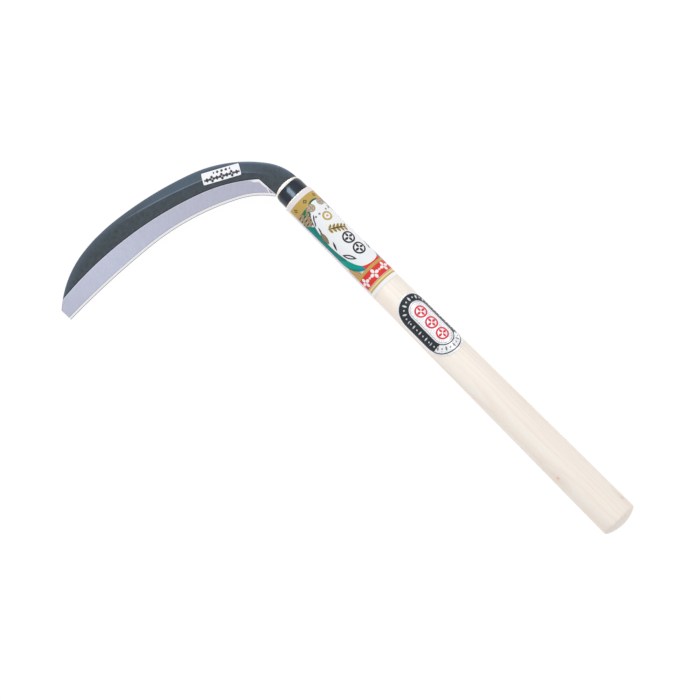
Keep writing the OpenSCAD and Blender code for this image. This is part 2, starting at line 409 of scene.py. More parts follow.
class Plane:
    """Places on a flat print, in millimetres, with distances to simple shapes: below zero is inside."""

    def __init__(self, graph, point):
        self.graph = graph
        self.point = point

    def vector(self, operation, *others):
        return self.graph.vector_math(operation, self.point, *others)

    def length(self):
        return Value(self.graph, self.vector("LENGTH"))

    def split(self):
        return self.graph.split(self.point)[:2]

    def at(self, centre, turn=0.0):
        """The plane with its middle moved to a place and its first axis turned."""
        point = self.vector("SUBTRACT", (*centre, 0))
        if turn:
            node = self.graph.node("VectorRotate", rotation_type="Z_AXIS")
            self.graph.plug(node.inputs["Vector"], point)
            node.inputs["Angle"].default_value = -math.radians(turn)
            point = node.outputs[0]
        return Plane(self.graph, point)

    def folded(self):
        """Both axes mirrored, so that each shape appears four times."""
        return Plane(self.graph, self.vector("ABSOLUTE"))

    def halved(self):
        """The second axis mirrored, so that each shape appears on both sides."""
        u, v = self.split()
        return Plane(self.graph, self.graph.combine(u, abs(v)))

    def every(self, pitch_u, pitch_v=FAR):
        """Equal cells, so that a shape at the middle repeats."""
        half = (pitch_u / 2, pitch_v / 2, FAR)
        return Plane(self.graph, self.vector("WRAP", half, tuple(-h for h in half)))

    def wheel(self, count):
        """Equal sectors round the middle, with the first axis pointing outwards."""
        u, v = self.split()
        half = math.pi / count
        angle = self.graph.math("WRAP", self.graph.math("ARCTAN2", v, u), half, -half)
        radius = self.length()
        return Plane(self.graph, self.graph.combine(radius * self.graph.math("COSINE", angle),
                                                    radius * self.graph.math("SINE", angle)))

    def disc(self, radius):
        return self.length() - radius

    def box(self, length, width, corner=0.0):
        """A rectangle, with rounded corners if a radius is given."""
        beyond = self.folded().vector("SUBTRACT", (length / 2 - corner, width / 2 - corner, 0))
        if corner:
            beyond = self.graph.vector_math("MAXIMUM", beyond, (0, 0, 0))
            return Plane(self.graph, beyond).length() - corner
        u, v = Plane(self.graph, beyond).split()
        return self.graph.math("MAXIMUM", u, v)

    def leaf(self, length, width):
        """A pointed leaf along the first axis."""
        radius = (length ** 2 + width ** 2) / (4 * width)
        moved = self.folded().vector("ADD", (0, radius - width / 2, 0))
        return Plane(self.graph, moved).disc(radius)

    def ellipse(self, half_u, half_v):
        """An oval, its distance true near the sides."""
        return Plane(self.graph, self.vector("MULTIPLY", (half_v / half_u, 1, 0))).disc(half_v)

    def lozenge(self, size, hole=0.0):
        """A square on its corner, hollow if a hole is given."""
        turned = self.at((0, 0), 45)
        if hole:
            return self.graph.highest(turned.box(size, size), -turned.box(hole, hole))
        return turned.box(size, size)

    def four_leaves(self, reach, width=0.6):
        """Four pointed leaves round the middle, like a plain clover."""
        return self.wheel(4).at((reach * 0.56, 0)).leaf(reach * 0.88, reach * width)

    def medallion(self, size):
        """A ring round four leaves."""
        line = size * 0.13
        ring = abs(self.disc((size - line) / 2)) - line / 2
        return self.graph.lowest(ring, self.four_leaves(size * 0.38, 0.5))


class Print:
    """Flat colours painted one over another."""

    def __init__(self, graph, colour):
        self.graph = graph
        self.colour = colour

    def paint(self, colour, *shapes, soft=0.15, share=1.0):
        """Covers the overlap of the shapes. With a share below 1 the colour under it shows through."""
        mask = self.graph.inside(self.graph.highest(*shapes), soft)
        self.colour = self.graph.mix(self.colour, colour, mask if share == 1.0 else mask * share)


def handle_graph(name):
    """A graph with places on the handle: graph.arc is s, in millimetres."""
    graph = Graph(name)
    graph.angle = graph.math("ARCTAN2", graph.y, graph.z)
    radius = Value(graph, graph.vector_math("LENGTH", graph.combine(0.0, graph.y, graph.z)))
    graph.arc = graph.angle * radius
    graph.sheet = Plane(graph, graph.combine(graph.x, graph.arc))
    return graph


# ---------------------------------------------------------------- wood
WOOD_LIGHT = (0.86, 0.815, 0.735)
WOOD_DARK = (0.81, 0.70, 0.605)
WOOD_KNOT = (0.74, 0.42, 0.28)
KNOTS = [((298.9, -11.8), 2.0), ((341.7, 15.7), 1.6)]
RING_CENTRE = (0.0, 31.0, -22.0)
RING_PITCH = 2.6


def wood_material():
    graph = handle_graph("pale_wood")
    # Growth rings: distance from the log's centre, which lies outside the handle and wanders along it
    sway = graph.combine(0.0, graph.noise((0.006, 0.02, 0.02), 2) * 9.0,
                         graph.noise((0.008, 0.03, 0.03), 2) * 6.0)
    from_centre = graph.vector_math("SUBTRACT", graph.vector_math("ADD", graph.place, sway), RING_CENTRE)
    from_centre = graph.vector_math("MULTIPLY", from_centre, (0, 1, 1))
    ring = Value(graph, graph.vector_math("LENGTH", from_centre)) / RING_PITCH
    ring = graph.math("FRACT", ring)
    late_wood = graph.fit(ring, 0.45, 0.93) * graph.fit(ring, 1.0, 0.94)
    streaks = graph.noise((0.012, 1.1, 1.1), 4, 0.6)
    fibres = graph.noise((0.09, 7.0, 7.0), 3, 0.6)
    cloud = graph.noise((0.014, 0.09, 0.09), 2)
    pores = graph.fit(graph.noise((0.22, 6.0, 6.0), 1), 0.66, 0.74)
    tone = late_wood * 0.42 + graph.fit(streaks, 0.35, 0.75) * 0.34 + graph.fit(cloud, 0.35, 0.7) * 0.2
    colour = graph.mix(WOOD_LIGHT, WOOD_DARK, graph.math("MULTIPLY", tone, 1.0, clamp=True))
    colour = graph.mix(colour, (0.78, 0.70, 0.60), graph.fit(fibres, 0.5, 0.85) * 0.3)
    colour = graph.mix(colour, (0.66, 0.54, 0.44), pores * 0.22)
    wood = Print(graph, colour)
    for place, radius in KNOTS:
        knot = graph.sheet.at(place)
        wood.paint((0.74, 0.62, 0.52), knot.ellipse(radius * 5, radius * 1.9), soft=radius * 2.4, share=0.45)
        wood.paint(WOOD_KNOT, knot.disc(radius * 0.5), soft=radius * 0.9, share=0.85)
    height = fibres * 0.5 + streaks * 0.25 - pores * 0.35 - late_wood * 0.2
    roughness = graph.fit(fibres, 0.3, 0.8, 0.5, 0.68)
    return graph.finish(Base_Color=wood.colour, Roughness=roughness, Normal=graph.bump(height, 0.05),
                        Specular_IOR_Level=0.35)


def dome_line(tip_x, rim_x, rim_r):
    """Half of a dome from the axis to its rim."""
    rise = abs(rim_x - tip_x)
    radius = (rise ** 2 + rim_r ** 2) / (2 * rise)
    side = math.copysign(1, rim_x - tip_x)
    widest = math.asin(rim_r / radius)
    return [(tip_x + side * radius * (1 - math.cos(widest * t)), radius * math.sin(widest * t))
            for t in np.linspace(0, 1, DOME_STEPS)]


def add_handle():
    seat_r = FERRULE_R - SHEET_T - GAP
    front = dome_line(-NOSE_LEN - HEAD_DOME, -NOSE_LEN, NOSE_R)
    back = dome_line(BUTT_X, BUTT_RIM_X, BUTT_R)[::-1]
    waist = [(x, wood_radius(x)) for x in np.linspace(FERRULE_LEN + 0.3, BUTT_RIM_X, 30)]
    corners = [front[-1], (SHEET_T + GAP, NOSE_R), (SHOULDER_LEN, seat_r), (FERRULE_LEN + GAP, seat_r),
               (FERRULE_LEN + GAP, HEAD_R), waist[1]]
    neck = soft_line(corners, [0, 0.3, 1.5, 0.05, 0.35, 0], [4, 3, 3, 3, 2], 5)
    outline = front[:-2] + soft_line([front[-2], front[-1], neck[1]], [0, 0.35, 0], [1, 1], 5)
    outline += neck[2:-1] + waist[1:-1]
    outline += soft_line([waist[-2], waist[-1], back[4]], [0, 2.4, 0], [2, 1], 9)[1:] + back[5:]
    handle = lathe("handle_wood", [tuple(p) for p in outline])
    cut(handle, tang_tool(0.15))
    cut(handle, pin_tool())
    dress(handle, "handle", "handle_wood", wood_material())


# ---------------------------------------------------------------- tang, mortise and pin hole
def prism(name, outline, low_z, high_z):
    """A closed prism over an outline of (x, y) points."""
    n = len(outline)
    points = [(*p, low_z) for p in outline] + [(*p, high_z) for p in outline]
    faces = [list(range(n))[::-1], list(range(n, 2 * n))]
    faces += [[i, (i + 1) % n, n + (i + 1) % n, n + i] for i in range(n)]
    return make_piece(name, points, faces)


def tang_tool(extra=0.0):
    """The tang, or the mortise round it when it is made larger."""
    root_x = HEAD_CENTRE - HEAD_DOME_R - 1.5
    half, end_half = TANG_W / 2 + extra, TANG_END_W / 2 + extra
    taper_x = TANG_LEN - TANG_END_W / 2
    outline = [(root_x, -half), (taper_x, -end_half), (TANG_LEN + extra, 0), (taper_x, end_half),
               (root_x, half)]
    return prism("tang_tool", outline, -TANG_T / 2 - extra, TANG_T / 2 + extra)


def pin_tool():
    centre = (PIN_LOW.x + PIN_HIGH.x) / 2
    radius = (PIN_HIGH.x - PIN_LOW.x) / 2 + GAP / 2
    circle = [(centre + radius * math.cos(a), radius * math.sin(a))
              for a in np.linspace(0, 2 * math.pi, 32, endpoint=False)]
    return prism("pin_tool", circle, -2 * HEAD_R, 2 * HEAD_R)


def combine_solids(piece, tool, operation):
    """Cuts the tool from the piece or joins it on, and deletes the tool."""
    modifier = piece.modifiers.new("solid", "BOOLEAN")
    modifier.operation = operation
    modifier.object = tool
    modifier.solver = "EXACT"
    result = bpy.data.meshes.new_from_object(piece.evaluated_get(bpy.context.evaluated_depsgraph_get()))
    piece.modifiers.clear()
    piece.data = result
    bpy.data.objects.remove(tool)


def cut(piece, tool):
    combine_solids(piece, tool, "DIFFERENCE")


def pin_material():
    graph = Graph("drawn_wire")
    drawn = graph.noise((6.0, 6.0, 0.2), 3)
    return graph.finish(Base_Color=graph.mix((0.36, 0.36, 0.38), (0.55, 0.55, 0.57), drawn), Metallic=1.0,
                        Roughness=graph.fit(drawn, 0.3, 0.7, 0.28, 0.45), Normal=graph.bump(drawn, 0.02))


# ---------------------------------------------------------------- ferrule
def ferrule_material():
    graph = handle_graph("black_enamel")
    skin = graph.noise(0.55, 2)
    dust = graph.fit(graph.noise(5, 2), 0.62, 0.75)
    turned = graph.noise((9, 1, 1), 2, place=graph.combine(graph.x, 0.0))
    colour = graph.mix((0.006, 0.008, 0.012), (0.012, 0.015, 0.022), skin)
    roughness = graph.fit(skin, 0.3, 0.7, 0.19, 0.24) + dust * 0.06
    return graph.finish(Base_Color=colour, Roughness=roughness,
                        Normal=graph.bump(skin * 0.2 + turned * 0.12, 0.03), Specular_IOR_Level=0.55,
                        Specular_Tint=(0.74, 0.87, 1.0, 1.0))


def add_ferrule():
    mouth_r = NOSE_R + GAP
    inner_r = FERRULE_R - SHEET_T
    rim = 0.3
    shoulder_drop = FERRULE_R - mouth_r - rim
    shoulder_r = (shoulder_drop ** 2 + SHOULDER_LEN ** 2) / (2 * shoulder_drop)
    lean = math.asin(SHOULDER_LEN / shoulder_r)
    shoulder = [(SHOULDER_LEN - shoulder_r * math.sin(lean * t),
                 FERRULE_R - shoulder_r * (1 - math.cos(lean * t))) for t in np.linspace(1, 0, 14)]
    corners = [(SHEET_T, mouth_r), (0, mouth_r), shoulder[0], shoulder[1]]
    outline = soft_line(corners, [0, 0.12, 0.18, 0], [3, 2, 1], 5) + shoulder[2:]
    back = [shoulder[-1], (FERRULE_LEN, FERRULE_R), (FERRULE_LEN, inner_r), (SHOULDER_LEN, inner_r),
            (SHEET_T, mouth_r + 0.1)]
    outline += soft_line(back, [0, 0.28, 0.28, 1.2, 0], [6, 2, 6, 4], 6)[1:]
    ferrule = lathe("ferrule_shell", [tuple(p) for p in outline], closed=True)
    dress(ferrule, "ferrule", "ferrule_black", ferrule_material())


# ---------------------------------------------------------------- blade
def ridge_distance(f):
    return max(0.12, RIDGE_D * (1 - (max(0.0, f) / RIDGE_MERGE) ** 3))


def section(base, direction, f):
    """Places across the blade at one station, as (distance from the edge, height above the back)."""
    top = RIDGE_T * (1 + (TIP_SHARE - 1) * max(0.0, f))
    w = distance_to(SPINE_LINE, base, direction)
    ridge_w = w - ridge_distance(f)
    ground_w = distance_to(GROUND_LINE, base, direction)
    bevel_w = max(BEVEL_HEEL_W, ground_w)
    rise = (top - FLAT_DROP * max(0.0, ridge_w - bevel_w) - STEEL_T) / (bevel_w - STRIP_W)

    def ground_z(place):
        return STEEL_T + rise * (place - STRIP_W)

    end_w = min(ground_w, ridge_w - STEP_W - 0.12)
    strip = min(STRIP_W, end_w * 0.6)
    step_w = end_w + STEP_W
    flat_z = top - FLAT_DROP * (ridge_w - step_w)
    facet = FACET_DROP * ridge_distance(f) * min(1.0, max(0.0, f / RIDGE_FADE + 0.3))
    return {
        "strip": (strip, LAND_T + (STEEL_T - LAND_T) * strip / STRIP_W),
        "bevel": (end_w, ground_z(end_w)),
        "step": (step_w, flat_z if ground_w < BEVEL_HEEL_W else min(flat_z, ground_z(step_w))),
        "ridge": (ridge_w, min(top, ground_z(max(ridge_w, bevel_w)))),
        "spine": (w, min(top - facet, ground_z(max(w, bevel_w)))),
        "border": ground_w,
        "steel": min(STEEL_W, w * 0.8),
    }


class Station:
    """One cross-section of the blade: a base point on the edge, a direction across and a share along."""

    def __init__(self, base, direction, f, along, bulge=None):
        self.base = np.array(base, float)
        self.direction = direction
        self.f = f
        self.along = along
        self.bulge = bulge
        self.parts = section(self.base, direction, f)

    def place(self, q):
        """A section point as a point in space. Neck sections bend to follow the handle's domed head."""
        point = self.base + self.direction * q[0]
        if self.bulge is not None:
            reach = q[0] / self.parts["spine"][0]
            point = self.bulge(reach)
        return (point[0], point[1], BACK_Z + q[1])


def edge_stations(step):
    chain = arc_chain(EDGE_START, EDGE_HEADING, EDGE_ARCS, step)
    last = len(chain) - 1
    length = sum(r * math.radians(a) for r, a in EDGE_ARCS)
    return [Station(p, unit(h - 90), i / last, length * i / last) for i, (p, h) in enumerate(chain)]


def head_x(y):
    """Where the neck meets the head's dome."""
    return HEAD_CENTRE - math.sqrt((HEAD_DOME_R + GAP) ** 2 - y * y)


def neck_stations(count):
    """Sections from the handle's head to the heel, the first one curved round the dome."""
    heel = section(np.array(EDGE_START), unit(EDGE_HEADING - 90), 0.0)
    heel_spine = np.array(EDGE_START) + unit(EDGE_HEADING - 90) * heel["spine"][0]
    corner = np.array([head_x(NECK_CORNER[1]), NECK_CORNER[1]])
    spine = SPINE_LINE[SPINE_LINE[:, 0] > heel_spine[0]]
    spine = spine[[head_x(y) > x for x, y in spine]]
    top_y = float(np.interp(corner[0], spine[::-1, 0], spine[::-1, 1]))
    spine_points = np.vstack([[head_x(top_y), top_y], spine, [heel_spine]])
    lengths = np.concatenate([[0], np.cumsum(np.linalg.norm(np.diff(spine_points, axis=0), axis=1))])
    stations = []
    for j in range(count + 1):
        t = min(j / count, 0.998)
        low = corner + (np.array(EDGE_START) - corner) * t
        high = np.array([np.interp(t * lengths[-1], lengths, spine_points[:, k]) for k in (0, 1)])
        span = high - low

        def bent(reach, low=low, high=high, t=t):
            straight = low + (high - low) * reach
            chord = corner + (spine_points[0] - corner) * reach
            return straight + np.array([(head_x(chord[1]) - chord[0]) * (1 - t) ** 2, 0])

        stations.append(Station(low, span / np.linalg.norm(span), t - 1, t - 1, bent))
    return stations


def iron_ring(station):
    """The iron's closed section: the bevel, the step, the flat, the facet and the back over the steel."""
    parts = station.parts
    w = parts["spine"][0]
    heel = station.f < 0
    recess = GAP if heel else STEEL_T + 0.03
    start = (0.0, LAND_T) if heel else (parts["strip"][0] + 0.04, parts["strip"][1] + 0.04)
    ramp = parts["ridge"][0] - parts["step"][0]
    corners = [start, parts["bevel"], parts["step"], parts["ridge"], parts["spine"], (w, 0),
               (parts["steel"], 0), (parts["steel"], recess), start]
    reaches = [0, 0.14, 0.25, min(0.8, ramp * 0.4), 0.55, 0.3, 0.05, 0.05, 0]
    return soft_line(corners, reaches, [9, 2, 7, 6, 2, 6, 2, 8])[:-1]


def steel_ring(station):
    """The hard steel's closed section: its ground strip, its top under the iron and the flat back."""
    parts = station.parts
    inner = parts["steel"] - GAP
    corners = [(0, LAND_T), parts["strip"], (inner, STEEL_T), (inner, 0), (0, 0), (0, LAND_T)]
    return soft_line(corners, [0, 0.08, 0.03, 0.03, 0.03, 0], [4, 6, 2, 8, 2], 3)[:-1]


def loft(name, stations, ring):
    """A closed solid through the stations' rings, with its places along and across stored at its points."""
    rings = [ring(station) for station in stations]
    places = [(station, q) for station, corners in zip(stations, rings) for q in corners]
    n = len(rings[0])
    faces = ring_faces(len(rings), n)
    faces.append(list(range(n))[::-1])
    faces.append([(len(rings) - 1) * n + j for j in range(n)])
    piece = make_piece(name, [station.place(q) for station, q in places], faces, 30)
    add_values(piece,
               along=[station.along for station, _ in places],
               across=[q[0] for _, q in places],
               border=[q[0] - station.parts["border"] for station, q in places],
               ridge=[q[0] - station.parts["ridge"][0] for station, q in places],
               spine=[station.parts["spine"][0] - q[0] for station, q in places])
    return piece


# the short line where the grinding wheel ran out at the heel: its middle, and its turn in degrees
RUN_OUT, RUN_OUT_TURN = (-9.95, -11.4), -18.7
SCALE_DARK = (0.036, 0.049, 0.059)
SCALE_LIGHT = (0.062, 0.079, 0.093)
# the facet's colour is a painted bluish reflection of the sky, not the oxide's own
SCALE_FACET_REFLECTION = (0.078, 0.112, 0.150)
GROUND_DARK = (0.50, 0.51, 0.62)
GROUND_LIGHT = (0.57, 0.58, 0.70)


def grinding(graph):
    """Fine lines that a wheel leaves across the blade."""
    along, across = graph.attribute("along"), graph.attribute("across")
    place = graph.combine(along + across * 0.35, across)
    fine = graph.noise((9.0, 0.12, 1), 3, 0.7, place)
    broad = graph.noise((1.1, 0.06, 1), 3, 0.6, place)
    return fine, broad


def iron_material():
    """Dark forge scale above, bare ground iron on the bevel."""
    graph = Graph("laminated_iron")
    across, along = graph.attribute("across"), graph.attribute("along")
    border, ridge, spine = (graph.attribute(name) for name in ("border", "ridge", "spine"))
    upper = graph.fit(graph.z, BACK_Z + 0.02, BACK_Z + 0.1)
    wander = (graph.noise((0.5, 1, 1), 3, place=graph.combine(along, 0.0)) - 0.5) * 0.3
    # scale: mottled blue-grey oxide, with a painted bluish reflection on the facet and near the spine, and
    # painted highlights along the ridge and the spine's rim
    mottle = graph.noise(0.35, 5, 0.65)
    grit = graph.noise(4.0, 3, 0.6)
    hammer = graph.noise(0.11, 1)
    # painted reflection: bluer towards the spine, and over the whole facet away from the neck and the tip
    spine_reflection = graph.fit(spine, 6.5, 0.8, 0.0, 0.7)
    body = graph.fit(along, 4, 26, 0.0, 0.85) * graph.fit(along, 108, 82)
    facet = graph.highest(spine_reflection, graph.fit(ridge, -0.4, 0.6) * body) * upper
    scale = graph.mix(SCALE_DARK, SCALE_LIGHT, graph.fit(mottle, 0.3, 0.72))
    scale = graph.mix(scale, SCALE_FACET_REFLECTION, facet * graph.fit(mottle, 0.2, 0.6, 0.6, 0.9))
    scale = graph.mix(scale, (0.12, 0.15, 0.17), graph.fit(grit, 0.62, 0.8) * 0.3)
    # painted highlight: a thin light-blue line along the ridge
    ridge_and_rim_highlight = graph.inside(abs(ridge + wander) - 0.32, 0.5) * graph.fit(along, 0, 36)
    ridge_and_rim_highlight = ridge_and_rim_highlight * graph.fit(along, 114, 92)
    # painted highlight: a light-blue band along the spine's rounded rim near the neck
    rim = graph.inside(spine - 1.1, 1.6) * graph.fit(along, 70, 20, 0.25, 0.9) * graph.fit(along, -0.9, -0.2)
    ridge_and_rim_highlight = graph.highest(ridge_and_rim_highlight, rim) * graph.fit(mottle, 0.25, 0.6, 0.6, 1.0) * upper
    scale = graph.mix(scale, (0.19, 0.24, 0.35), ridge_and_rim_highlight * 0.9)
    # ground bevel
    fine, broad = grinding(graph)
    tone = graph.fit(broad, 0.1, 0.9) * 0.6 + graph.fit(mottle, 0.3, 0.7) * 0.4
    ground = graph.mix(GROUND_DARK, GROUND_LIGHT, tone)
    ground = graph.mix(ground, (0.68, 0.68, 0.77), graph.fit(fine, 0.55, 0.8) * 0.1)
    line = graph.inside(abs(across - STRIP_W - wander * 0.8 - 0.3) - 0.12, 0.2)
    ground = graph.mix(ground, (0.20, 0.20, 0.25), line * graph.fit(broad, 0.35, 0.6, 0.35, 0.9))
    # the wheel's run-out at the heel: a painted highlight on the fillet, a bright line down to the edge,
    # then painted shade on the corner beyond, as though it faced a little away from the light
    corner = Plane(graph, graph.combine(graph.x, graph.y)).at(RUN_OUT, RUN_OUT_TURN)
    corner_shade = graph.inside(-corner.split()[1], 0.4)
    ground = graph.mix(ground, (0.36, 0.36, 0.45), corner_shade * 0.8)
    heel = graph.fit(along, 24, 15) * graph.fit(graph.x, -26.0, -20.5)
    fillet = heel * graph.fit(graph.x, -10.0, -14.0, 0.35, 1.0)
    fillet_highlight = graph.inside(abs(border + 0.25 + fillet * 0.85) - 0.16 - fillet * 0.82, 0.35)
    ground = graph.mix(ground, (0.97, 0.97, 1.0), fillet_highlight * graph.fit(fillet, 0.0, 1.0, 0.5, 1.0))
    ground = graph.mix(ground, (0.97, 0.97, 1.0), graph.inside(corner.box(6.0, 0.8), 0.4) * 0.9)
    bare = graph.inside(border + wander * 0.35, 0.16) * upper
    # a near-black line on the scale just beyond the bevel's border, over the step
    border_line = graph.inside(abs(border - 0.34 + wander * 0.35) - 0.32, 0.3) * upper
    scale = graph.mix(scale, (0.011, 0.014, 0.018), border_line * 0.95)
    colour = graph.mix(scale, ground, bare)
    rough_scale = graph.fit(mottle, 0.3, 0.7, 0.42, 0.54)
    rough_bare = graph.fit(fine, 0.3, 0.75, 0.30, 0.44)
    roughness = rough_scale + (rough_bare - rough_scale) * bare
    height = (mottle * 0.3 + grit * 0.2 + hammer * 1.2) * (1 - bare) + (fine * 0.05 + broad * 0.02) * bare
    return graph.finish(Base_Color=colour, Metallic=bare * 0.75 + 0.25, Roughness=roughness,
                        Normal=graph.bump(height, 0.07), Specular_IOR_Level=0.4)


def steel_material():
    graph = Graph("honed_steel")
    fine, broad = grinding(graph)
    across = graph.attribute("across")
    colour = graph.mix((0.90, 0.90, 0.93), (0.98, 0.98, 0.99), graph.fit(broad, 0.3, 0.7))
    under = graph.inside(graph.z - BACK_Z - 0.03, 0.05)
    colour = graph.mix(colour, (0.62, 0.62, 0.68), under)
    apex = graph.inside(across - 0.34, 0.4)
    colour = graph.mix(colour, (0.13, 0.14, 0.16), apex * (1 - under))
    return graph.finish(Base_Color=colour, Metallic=1.0, Roughness=graph.fit(fine, 0.3, 0.75, 0.22, 0.34),
                        Normal=graph.bump(fine * 0.5 + broad * 0.3, 0.012))


def add_blade():
    stations = edge_stations(1.2)
    iron = loft("blade_iron", neck_stations(16) + stations, iron_ring)
    combine_solids(iron, tang_tool(), "UNION")
    dress(iron, "blade_body", "forged_iron", iron_material())
    steel = loft("blade_edge", stations, steel_ring)
    dress(steel, "edge_steel", "edge_steel", steel_material())


# ---------------------------------------------------------------- blade sticker
TAG_CORNER_R = 1.4
TAG_CENTRE = ((TAG_LOW.x + TAG_HIGH.x) / 2, (TAG_LOW.y + TAG_HIGH.y) / 2)
TAG_LEN, TAG_W, TAG_TURN = 30.7, 10.2, 61.1
INK = (0.035, 0.035, 0.042)


def blade_top(stations):
    """A function that gives the height of the blade's upper side at a point in plan."""
    bases = np.array([s.base for s in stations])
    directions = np.array([s.direction for s in stations])

    def height(point):
        offset = point - bases
        aside = directions[:, 0] * offset[:, 1] - directions[:, 1] * offset[:, 0]
        near = int(np.argmin(np.abs(aside)))
        places = [stations[near].parts[k] for k in ("strip", "bevel", "step", "ridge", "spine")]
        reach = float(offset[near] @ directions[near])
        return BACK_Z + float(np.interp(reach, [p[0] for p in places], [p[1] for p in places]))

    return height


def rounded_outline(length, width, radius):
    """A rectangle's outline with rounded corners."""
    centres = [np.array([sx * (length / 2 - radius), sy * (width / 2 - radius)])
               for sx, sy in ((1, 1), (-1, 1), (-1, -1), (1, -1))]
    points = []
    for k, centre in enumerate(centres):
        points += [centre + radius * unit(90 * k + 90 * t) for t in np.linspace(0, 1, 5)]
        start = points[-1]
        goal = centres[(k + 1) % 4] + radius * unit(90 * k + 90)
        points += [start + (goal - start) * t / 10 for t in range(1, 10)]
    return points


def sheet_piece(name, outline, place, rings=10):
    """A thin closed sheet inside an outline. place(point, height) puts it on the surface it lies on."""
    n = len(outline)
    points, faces = [], []
    for height in (PAPER_T, 0.0):
        first = len(points)
        for k in range(rings, 0, -1):
            points += [place(p * k / rings, height) for p in outline]
        hub = len(points)
        points.append(place(np.zeros(2), height))
        faces += [[first + i for i in face] for face in ring_faces(rings, n)]
        inner = first + (rings - 1) * n
        faces += [[inner + j, inner + (j + 1) % n, hub] for j in range(n)]
    lower = rings * n + 1
    faces += [[j, (j + 1) % n, lower + (j + 1) % n, lower + j] for j in range(n)]
    return make_piece(name, points, faces, 50)


def tag_material():
    graph = Graph("tag_paper")
    sheet = Plane(graph, graph.combine(graph.x, graph.y)).at(TAG_CENTRE, TAG_TURN)
    tag = Print(graph, (0.93, 0.93, 0.945))
    tag.paint((0.008, 0.009, 0.012), -0.38 - sheet.box(TAG_LEN, TAG_W, TAG_CORNER_R), soft=0.2)
    row = sheet.at((0.2, -1.6))
    leaves = row.every(7.8).four_leaves(2.7, 0.75)
    lozenges = row.at((3.9, 0)).every(7.8).lozenge(2.6)
    tag.paint(INK, graph.lowest(leaves, lozenges), row.box(28.0, 5.6), soft=0.2)
    row = sheet.at((1.0, 2.7))
    tag.paint(INK, row.every(3.4).lozenge(1.8), row.box(13.6, 3.4), soft=0.2)
    fibre = graph.noise(3, 3)
    return graph.finish(Base_Color=tag.colour, Roughness=graph.fit(fibre, 0.3, 0.7, 0.32, 0.42),
                        Normal=graph.bump(fibre, 0.01), Specular_IOR_Level=0.4)


def add_tag():
    top = blade_top(edge_stations(0.6))
    along, across = unit(TAG_TURN), unit(TAG_TURN + 90)

    def place(p, height):
        point = np.array(TAG_CENTRE) + p[0] * along + p[1] * across
        return (point[0], point[1], top(point) + GAP + height)

    outline = [np.array(p) for p in rounded_outline(TAG_LEN, TAG_W, TAG_CORNER_R)]
    dress(sheet_piece("blade_tag", outline, place), "blade_sticker", "tag_paper", tag_material())


# ---------------------------------------------------------------- wrap label
GOLD = (0.57, 0.385, 0.105)
DARK_OLIVE = (0.10, 0.085, 0.035)
BROWN = (0.33, 0.25, 0.155)
PALE_BROWN = (0.60, 0.46, 0.28)
TEAL = (0.0, 0.235, 0.205)
GREEN = (0.012, 0.22, 0.09)
RED = (0.76, 0.045, 0.035)
PAPER = (0.83, 0.785, 0.79)
FIELD = (0.89, 0.905, 0.905)
ART_START = -1.3
ART_MIDDLE = 6.5
ART_HALF = 21.0
WRAP_ROWS, WRAP_COLUMNS = 26, 170
WRAP_SEAM = math.radians(167.4)
WRAP_OVERLAP, WRAP_LIFT = 5.0, 3.0


def paint_borders(art, graph, half, field):
    """The gold band at the front, brown corner pieces and teal bands down both sides of the field."""
    u, v = half.split()
    in_art = v - ART_HALF
    art.paint(GOLD, in_art, half.at((21.2, 0)).box(8.4, FAR), soft=0.12)
    lozenges = graph.sheet.at((20.6, ART_MIDDLE - 5.0)).every(FAR, 10.6).lozenge(2.6, 1.1)
    art.paint(DARK_OLIVE, in_art, lozenges, share=0.9)
    corner = graph.highest(half.at((31.2, 0)).box(12.4, FAR), in_art)
    art.paint(BROWN, corner, soft=0.12)
    leaves = half.at((26.0, 12.0), 28).every(3.1, 4.6).at((0, 0), 62)
    art.paint(PALE_BROWN, corner, leaves.leaf(4.8, 2.6))
    art.paint(DARK_OLIVE, corner, leaves.leaf(4.6, 1.4))
    # the side bands start where the brown corners end, and close round the field's far end
    side = graph.highest(half.at((32.4, 0)).box(119.6, 41.6, 20.7), (53.0 - u - v) * 0.7)
    foot = graph.highest(half.at((84.5, 17)).box(12, 8), 60.0 + v - u)
    art.paint((0.60, 0.40, 0.16), foot, soft=0.2)
    art.paint((0.40, 0.16, 0.08), foot, half.at((84, 17), 62).every(2.3).box(0.6, 14), soft=0.2, share=0.7)
    art.paint(TEAL, side, soft=0.12)
    art.paint((0.0, 0.40, 0.30), side, half.at((79, 15), -33).leaf(22, 5), soft=0.5, share=0.7)
    art.paint((0.02, 0.27, 0.50), side, 87.0 - u, soft=2.5, share=0.7)
    art.paint(FIELD, field, soft=0.12)
    art.paint(INK, abs(field) - 0.25, u - 74.0, share=0.9)
    art.paint((0.01, 0.13, 0.07), abs(field + 0.2) - 0.7, u - 31.0)
    art.paint(GREEN, half.at((26.5, 11.2), 60).leaf(5.5, 2.4))


